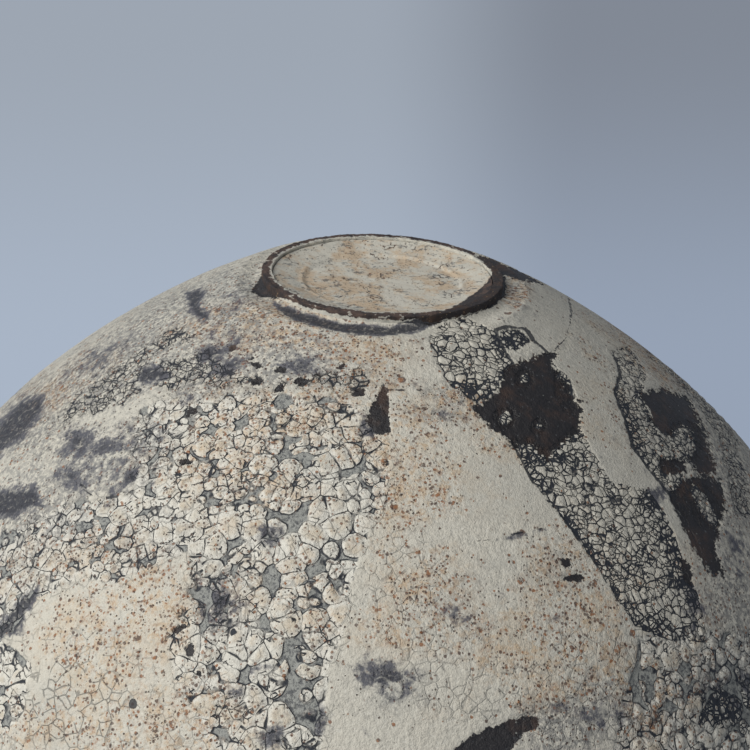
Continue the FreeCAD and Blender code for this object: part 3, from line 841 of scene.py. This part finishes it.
# Colours, as the slip and the clay have them in plain light
CREAM = (0.655, 0.624, 0.540, 1)
PALE_CREAM = (0.775, 0.752, 0.675, 1)
GREY_CREAM = (0.530, 0.518, 0.462, 1)
OCHRE = (0.570, 0.385, 0.215, 1)
TAN = (0.620, 0.500, 0.350, 1)
FLECK_GREY = (0.400, 0.385, 0.340, 1)
SMOKE_GREY = (0.160, 0.160, 0.165, 1)
CRACK_DARK = (0.020, 0.023, 0.030, 1)
GAP_GREY = (0.335, 0.340, 0.315, 1)
GAP_DARK = (0.105, 0.108, 0.112, 1)
CLAY_BLACK = (0.019, 0.016, 0.016, 1)
CLAY_BROWN = (0.060, 0.036, 0.026, 1)
SLATE_DARK = (0.095, 0.097, 0.118, 1)
SLATE_DEEP = (0.026, 0.028, 0.040, 1)
RUST_RED = (0.300, 0.112, 0.034, 1)
RUST_DARK = (0.085, 0.045, 0.032, 1)
FOOT_BROWN = (0.105, 0.068, 0.055, 1)
FOOT_DARK = (0.030, 0.024, 0.024, 1)


class Finish(Recipe):
    """A material's recipe, with the steps that only a material has."""

    def __init__(self, name):
        self.material = bpy.data.materials.new(name)
        self.material.use_nodes = True
        super().__init__(self.material.node_tree)

    def amount(self, name):
        return self.value("ShaderNodeAttribute", output="Fac", attribute_name=name)

    def laid(self):
        """Where a point of the coat lay before its relief, in millimetres."""
        return self.value("ShaderNodeAttribute", output="Vector", attribute_name="laid").scaled(MILLIMETRES)

    def own_place(self):
        return self.value("ShaderNodeTexCoord", output="Object").scaled(MILLIMETRES)

    def surface(self, colour, roughness, height):
        """Sets the shader: colour, roughness and a bump of a millimetre per unit of height."""
        bump = self.add("ShaderNodeBump", {"Strength": 1.0, "Distance": 1 / MILLIMETRES, "Height": height})
        sources = {"Base Color": colour, "Roughness": roughness, "Normal": bump.outputs[0]}
        shader = self.add("ShaderNodeBsdfPrincipled", sources)
        self.add("ShaderNodeOutputMaterial", {"Surface": shader.outputs[0]})
        return self.material


def from_axis(place):
    x = place.part(0)
    y = place.part(1)
    return (x * x + y * y).math("SQRT")


def specks(place, size, share, largest):
    """Small round specks: share of the cells that hold one, and the largest speck's radius."""
    centre, tint = place.cells(size)
    chance = tint.part(0)
    radius = tint.part(1) * largest
    there = (chance - share).rise(0.01, -0.01)
    return (centre - radius).rise(0.08, -0.1) * there


def cream_slip_finish():
    """Dry cream slip, cracked over dark clay, with rust specks, slate stains and bare patches."""
    finish = Finish("cream_slip_crackle")
    place = finish.laid()
    amounts = {name: finish.amount(name) for name in FINISHES}
    pattern = slip_pattern(place, amounts)
    warm = (amounts["rust"] + (pattern.broad - 0.5) * 1.1).rise(0.12, 0.62)
    calm = 1.0 - pattern.smooth * 0.75
    warm_calm = warm * calm

    cool = place.cloud(30.0, 3.0, 0.55).rise(0.52, 0.68)
    pale_scale = pattern.big_tint.part(2).rise(0.3, 0.9) * (pattern.scales * 0.8)
    # Pale rim round the edge of each scale: a painted highlight where the curled edges catch the light.
    rim = pattern.plate.rise(1.3, 0.3) * (pattern.scales * 0.8)
    baked = pattern.plate.rise(0.35, 1.5) * pattern.scales * place.cloud(3.0, 3.0, 0.6).rise(0.3, 0.6)
    tan = place.cloud(12.0, 3.0, 0.6).rise(0.44, 0.62)
    fleck = place.cloud(0.9, 3.0, 0.65)
    soot = place.bent(3.0, 2.0).cloud(1.5, 4.0, 0.7).rise(0.41, 0.57)

    cluster = place.cloud(4.5, 4.0, 0.6).rise(0.4, 0.62)
    rust_share = 0.1 + warm_calm * cluster
    halo_cloud = place.cloud(2.0, 4.0, 0.65).rise(0.49, 0.62)
    soaked = place.cloud(1.3, 4.0, 0.7).rise(0.48, 0.66) * (cluster * warm_calm)
    rust = specks(place.bent(0.9, 0.45), 1.2, rust_share, 0.54)
    blots = specks(place.bent(1.3, 1.5), 3.3, rust_share * 0.45, 1.2)
    rust = rust.more(blots * place.cloud(0.8, 2.0, 0.6).rise(0.36, 0.48))
    rust_tone = blend(place.cloud(1.6, 1.0).rise(0.45, 0.61), RUST_DARK, RUST_RED)
    pepper_share = warm_calm * 0.75 + pattern.smoke * 0.4 + pattern.scales * 0.36
    pepper_share = pepper_share * place.cloud(5.0, 3.0, 0.6).rise(0.36, 0.6)
    pepper = specks(place.bent(0.8, 0.5), 0.95, pepper_share, 0.52)
    dot_share = warm_calm * 0.25 + pattern.smoke * 0.6 + pattern.scales * 0.26
    dots = specks(place.bent(0.7, 0.4), 0.8, dot_share * calm, 0.3)

    streak = place.bent(6.0, 5.0).cloud(1.4, 3.0, 0.6)
    wash = pattern.slate * streak.rise(0.12, 0.5)
    deep = (amounts["slate"] + (streak - 0.5) * 0.8).rise(0.55, 1.0)
    gap_tone = blend(place.cloud(1.1, 4.0, 0.75).rise(0.38, 0.54), GAP_DARK, GAP_GREY)
    pits = specks(place.bent(2.0, 1.2), 8.0, 0.09, 1.2)
    clay = blend(place.cloud(9.0, 3.0, 0.6).rise(0.48, 0.7), CLAY_BLACK, CLAY_BROWN)
    grit = specks(place, 1.7, 0.22, 0.3) * 0.8
    clay = layered(clay, (grit, GAP_GREY), (pattern.crumbs.rise(0.13, 0.2), GAP_DARK))
    colour = layered(
        CREAM,
        (cool * 0.6, GREY_CREAM),
        (pale_scale, PALE_CREAM),
        # painted highlight on the scales' curled edges
        (rim, PALE_CREAM),
        (baked * 0.5, TAN),
        (tan * (0.15 + warm) * 0.34, TAN),
        (pattern.smooth * 0.25, GREY_CREAM),
        (fleck.rise(0.52, 0.66) * 0.45, FLECK_GREY),
        (fleck.rise(0.46, 0.34) * 0.4, PALE_CREAM),
        (pattern.smoke * soot * 0.72, SMOKE_GREY),
        (halo_cloud * warm_calm * 0.54, OCHRE),
        (soaked * 0.5, RUST_RED),
        (rust * 0.85, rust_tone),
        (pepper * 0.75, rust_tone),
        (dots * 0.85, RUST_DARK),
        (wash * 0.95, blend(deep, SLATE_DARK, SLATE_DEEP)),
        (pattern.crack, CRACK_DARK),
        (pattern.gap, gap_tone),
        (pits, CRACK_DARK),
        (pattern.bare, clay))

    grain = place.cloud(0.45, 3.0, 0.6)
    sunk = pattern.crack.more(dots.more(pits)) * -0.34
    lumps = (place.cloud(2.2, 3.0, 0.6) - 0.5) * calm
    height = grain * 0.11 + sunk + fleck * 0.22 + pattern.blister * 0.05 + lumps * 0.55
    return finish.surface(colour, 0.72 + pattern.bare * -0.14, height)


def clay_finish(name, brown, dark, worn):
    """Coarse fired clay: two browns in clouds, small pale grit and a rough skin."""
    finish = Finish(name)
    place = finish.own_place()
    cloud = place.bent(4.0, 2.0).cloud(5.0, 4.0, 0.65)
    grit = specks(place, 1.3, 0.18, 0.3)
    colour = layered(dark, (cloud.rise(0.36, 0.62), brown), (grit * 0.7, worn))
    grain = place.cloud(0.6, 4.0, 0.65)
    height = grain * 0.3 + cloud * 0.5
    return finish.surface(colour, 0.7 + grain * 0.2, height)


def foot_finish():
    """The foot: bare brown clay on the rim, ragged slip and slate stains below it, blackened on one side, and
    painted shade in the hollow at its root.
    """
    finish = Finish("foot_clay_bare")
    place = finish.laid()
    z = place.part(2)
    across = from_axis(place)
    cloud = place.bent(3.0, 2.0).cloud(4.0, 4.0, 0.65)
    torn = place.cloud(2.0, 4.0, 0.65) - 0.5
    slip_tone = blend(cloud.rise(0.42, 0.6), GREY_CREAM, CREAM)
    clay_tone = blend(cloud.rise(0.36, 0.62), FOOT_DARK, FOOT_BROWN)
    inside = (across + torn * 4.0).rise(33.5, 33.1)
    below = (z + torn * 3.2).rise(1.25, 1.5)
    smears = place.bent(3.0, 2.0).cloud(3.4, 3.0, 0.6).rise(0.6, 0.64)
    slate = (finish.amount("slate") + torn * 0.8).rise(0.36, 0.6)
    dark = (finish.amount("dark_clay") + torn * 0.8).rise(0.46, 0.54)
    # Slate grey at the top of the root hollow, where the foot meets the body: painted shade in that crease,
    # partly slate stain.
    root = z.rise(3.4, 4.2) * torn.rise(0.02, 0.12)
    colour = layered(
        clay_tone,
        (inside.more(below).more(smears * 0.7), slip_tone),
        (slate * below * 0.95, SLATE_DEEP),
        (dark, blend(cloud.rise(0.45, 0.65), FOOT_DARK, CLAY_BROWN)),
        # painted shade at the foot's root
        (root * 0.7, SLATE_DARK),
        (place.cloud(0.9, 2.0, 0.6).rise(0.66, 0.7) * 0.6, OCHRE),
        (place.cloud(0.7, 1.0).rise(0.7, 0.73) * 0.8, FOOT_DARK))
    height = place.cloud(0.6, 4.0, 0.65) * 0.3 + cloud * 0.4
    return finish.surface(colour, 0.8, height)


def well_finish():
    """Thick slip in the foot's well: cream with grey and ochre clouds, short cracks and rust spots."""
    finish = Finish("well_slip_dry")
    place = finish.laid()
    grey = place.bent(8.0, 4.0).cloud(9.0, 4.0, 0.6).rise(0.46, 0.64)
    warm = place.cloud(7.0, 4.0, 0.65).rise(0.43, 0.62)
    cracks_here = place.cloud(4.5).rise(0.57, 0.65)
    crack = place.bent(2.5, 2.2).cell_edge(4.2).rise(0.22, 0.06) * cracks_here
    spots = place.bent(1.2, 0.8).cloud(1.1, 2.0, 0.6).rise(0.62, 0.66)
    dots = place.cloud(0.7, 1.0).rise(0.67, 0.7)
    strokes = place.bent(2.4, 1.6).cloud(2.0, 3.0, 0.6).rise(0.57, 0.63)
    torn = place.cloud(2.0, 4.0, 0.65) - 0.5
    dark = (finish.amount("dark_clay") + torn * 0.8).rise(0.46, 0.54)
    colour = layered(
        CREAM,
        (grey * 0.55, GREY_CREAM),
        (warm * 0.58, OCHRE),
        (crack * 0.8, RUST_DARK),
        (spots * warm * 0.7, RUST_RED),
        (dots * 0.7, RUST_DARK),
        (strokes * place.cloud(10.0, 1.0).rise(0.44, 0.54) * 0.7, GAP_DARK),
        (dark, blend(grey.rise(0.2, 0.8), FOOT_DARK, FOOT_BROWN)))
    grain = place.cloud(0.5, 3.0, 0.6)
    height = grain * 0.12 + place.cloud(2.4) * 0.16 + crack.more(dots) * -0.3
    return finish.surface(colour, 0.78, height)


def quarter_turns(count):
    return [math.pi / 2 * index / count for index in range(count + 1)]


def bare_foot_outline(step):
    """From the bare band in over the root, up the foot, round its rim and a little way into the well."""
    band_r = FOOT_RADIUS + BARE_BAND + BAND_UNDER_SLIP
    root = FOOT_ROOT_ROUND
    edge = FOOT_EDGE_ROUND
    inner_r = FOOT_RADIUS - FOOT_RIM_WIDTH
    band = line_points((band_r, FOOT_DEPTH), (FOOT_RADIUS + root, FOOT_DEPTH), step)
    hollow = [(FOOT_RADIUS + root - root * math.sin(turn), FOOT_DEPTH - root + root * math.cos(turn))
              for turn in quarter_turns(8)]
    wall = line_points((FOOT_RADIUS, FOOT_DEPTH - root), (FOOT_RADIUS, edge), step)
    outer_edge = [(FOOT_RADIUS - edge * (1 - math.cos(turn)), edge * (1 - math.sin(turn)))
                  for turn in quarter_turns(5)]
    rim = line_points((FOOT_RADIUS - edge, 0), (inner_r + edge, 0), step)
    inner_edge = [(inner_r + edge * (1 - math.sin(turn)), edge * (1 - math.cos(turn)))
                  for turn in quarter_turns(5)]
    inner = line_points((inner_r, edge), (inner_r, WELL_STEP_Z), step)
    return joined(band, hollow, wall, outer_edge, rim, inner_edge, inner)


def plain_relief(place, amounts):
    """Worn clay: soft dents, deeper towards the lower numbers, never above the even surface."""
    soft = (place.cloud(6.0, 3.0, 0.55) - 0.5) * 0.9
    fine = (place.cloud(1.6, 3.0, 0.6) - 0.5) * 0.7
    return soft + fine - 0.32


def well_relief(place, amounts):
    """Slip left uneven by the brush in the well."""
    soft = (place.cloud(9.0) - 0.5) * 0.5
    fine = (place.cloud(2.6) - 0.5) * 0.18
    across = from_axis(place) + (place.cloud(12.0) - 0.5) * 2.0
    worn = place.cloud(8.0).rise(0.36, 0.6)
    ridge = (across - WELL_RIDGE).math("ABSOLUTE").rise(1.3, 0.1) * 0.3 * worn
    return soft + fine + ridge - 0.3


def split_round(whole, names, start):
    """Cuts a turned coat into equal sectors that keep the whole coat's smooth shading across the cuts."""
    mesh = whole.data
    normals = np.empty(len(mesh.vertices) * 3)
    mesh.vertex_normals.foreach_get("vector", normals)
    store(mesh, "facing", "FLOAT_VECTOR", "vector", normals)
    share = 2 * math.pi / len(names)
    sectors = []
    for index, name in enumerate(names):
        low = math.radians(start) + share * index
        part = bmesh.new()
        part.from_mesh(mesh)
        beyond = []
        for face in part.faces:
            centre = face.calc_center_median()
            if (math.atan2(centre.y, centre.x) - low) % (2 * math.pi) >= share:
                beyond.append(face)
        bmesh.ops.delete(part, geom=beyond, context="FACES")
        sectors.append(placed(name, part))
        shaped = sectors[-1].data
        facing = np.empty(len(shaped.vertices) * 3, dtype=np.float32)
        shaped.attributes["facing"].data.foreach_get("vector", facing)
        shaped.attributes.remove(shaped.attributes["facing"])
        shaped.normals_split_custom_set_from_vertices(facing.reshape(-1, 3))
    bpy.data.objects.remove(whole)
    bpy.data.meshes.remove(mesh)
    return sectors


def coat(name, outline, steps, doublings, middle, relief_nodes, material, node, sides=()):
    """A turned coat that faces away from its middle, with its relief and material, and its sides if cut."""
    piece = turned_piece(name, outline, steps, doublings)
    face_out(piece, middle)
    mark_finishes(piece)
    lay_relief(piece, relief_nodes)
    pieces = split_round(piece, [name + side for side in sides], FIRST_SIDE) if sides else [piece]
    for piece in pieces:
        piece.data.materials.append(material)
        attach(piece, "root")
        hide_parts(node)


# Distance between the points of each outline, in metres
LOWER_STEP = 0.00078
UPPER_STEP = 0.00098
COLLAR_STEP = 0.0007
WELL_STEP = 0.00045
FOOT_STEP = 0.00035

SIDES = ("_front", "_left", "_back", "_right")
FIRST_SIDE = -135

# Places that the coats face away from: the jar's middle, the lip's and one high above the foot
JAR_MIDDLE = (0, 0, BELLY_Z)
LIP_MIDDLE = (0, 0, LIP_Z - 0.004)
FOOT_MIDDLE = (0, 0, 0.2)

slip_nodes = relief_tree("slip_relief", relief)
clay_nodes = relief_tree("clay_relief", plain_relief)
well_nodes = relief_tree("well_relief", well_relief)
cream_slip = cream_slip_finish()

coat("lower_slip", lower_outline(LOWER_STEP), steps=10, doublings=7, middle=JAR_MIDDLE,
     relief_nodes=slip_nodes, material=cream_slip, node="lower_slip_coat",
     sides=SIDES)
coat("upper_slip", upper_outline(UPPER_STEP), steps=8, doublings=7, middle=JAR_MIDDLE,
     relief_nodes=slip_nodes, material=cream_slip, node="upper_slip_coat",
     sides=SIDES)
coat("collar_slip_skin", collar_outline(COLLAR_STEP), steps=14, doublings=5, middle=LIP_MIDDLE,
     relief_nodes=clay_nodes, material=cream_slip, node="collar_slip")
coat("well_slip_skin", well_outline(WELL_STEP), steps=13, doublings=5, middle=FOOT_MIDDLE,
     relief_nodes=well_nodes, material=well_finish(), node="foot_well_slip")
coat("foot_ring_worn", bare_foot_outline(FOOT_STEP), steps=20, doublings=5, middle=FOOT_MIDDLE,
     relief_nodes=clay_nodes, material=foot_finish(), node="foot_ring")

inner_clay = clay_finish("inner_clay_raw", CLAY_BROWN, CLAY_BLACK, OCHRE)
for node in ("lower_bowl", "upper_bowl", "luting_seam", "seam_coil", "neck_collar"):
    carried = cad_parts[node]
    carried.data.materials.clear()
    carried.data.materials.append(inner_clay)

# Floor: pale on its upper side; from underneath the jar's foot is seen and lit straight through it
FLOOR_HALF = 25
FLOOR_TONE = (0.70, 0.72, 0.74, 1)
FLOOR_GLOW = (0.20, 0.215, 0.235, 1)
ground = bmesh.new()
bmesh.ops.create_grid(ground, x_segments=1, y_segments=1, size=FLOOR_HALF)
floor = placed("floor", ground)

paint = Finish("floor_pale")
pale = paint.add("ShaderNodeBsdfDiffuse", {"Color": FLOOR_TONE})
glow = paint.add("ShaderNodeEmission", {"Color": FLOOR_GLOW})
pale_floor = paint.add("ShaderNodeAddShader", {0: pale.outputs[0], 1: glow.outputs[0]})
clear = paint.add("ShaderNodeBsdfTransparent")
shown_side = 1.0 - paint.value("ShaderNodeNewGeometry", output="Backfacing")
seen_from_above = paint.value("ShaderNodeLightPath", output="Is Camera Ray") * shown_side
choice = paint.add("ShaderNodeMixShader", {0: seen_from_above, 1: clear.outputs[0], 2: pale_floor.outputs[0]})
paint.add("ShaderNodeOutputMaterial", {"Surface": choice.outputs[0]})
floor.data.materials.append(paint.material)

# World: a plain even light, and a cool grey backdrop that is lighter to one side: painted light falling
# unevenly across a plain wall
HIGH_LEFT = (0.338, 0.381, 0.445, 1)
LOW_LEFT = (0.397, 0.462, 0.565, 1)
HIGH_RIGHT = (0.223, 0.250, 0.300, 1)
LOW_RIGHT = (0.305, 0.362, 0.462, 1)
FILL = (0.165, 0.176, 0.192, 1)
world = bpy.data.worlds.new("plain_light")
bpy.context.scene.world = world
world.use_nodes = True
sky = Recipe(world.node_tree)
heading = sky.value("ShaderNodeTexCoord", output="Generated")
low_share = heading.dot(tuple(VIEW_UP)).rise(0.20, 0.0)
right_share = heading.dot(tuple(VIEW_RIGHT)).rise(-0.01, 0.115)
backdrop = blend(right_share, blend(low_share, HIGH_LEFT, LOW_LEFT), blend(low_share, HIGH_RIGHT, LOW_RIGHT))
mirrored = sky.value("ShaderNodeLightPath", output="Is Glossy Ray")
plain_ray = sky.value("ShaderNodeLightPath", output="Is Camera Ray").more(mirrored)
shown = sky.add("ShaderNodeBackground", {"Color": blend(plain_ray, FILL, backdrop)})
sky.add("ShaderNodeOutputWorld", {"Surface": shown.outputs[0]})


def area_lamp(name, way, reach, size, power, colour):
    """A large soft lamp that shines at the middle of the jar from a given way."""
    lamp_data = bpy.data.lights.new(name, "AREA")
    lamp_data.shape = "DISK"
    lamp_data.size = size
    lamp_data.energy = power
    lamp_data.color = colour
    lamp = placed(name, lamp_data)
    direction = Vector(way).normalized()
    lamp.rotation_mode = "QUATERNION"
    lamp.rotation_quaternion = direction.to_track_quat("Z", "Y")
    lamp.location = direction * reach + Vector((0, 0, BELLY_Z / 2))


area_lamp("window", (0.66, -0.46, -0.56), reach=2.1, size=2.0, power=45, colour=(1.0, 0.985, 0.95))
area_lamp("overhead", (0.06, -0.06, 1.0), reach=2.4, size=1.7, power=50, colour=(1.0, 0.99, 0.97))
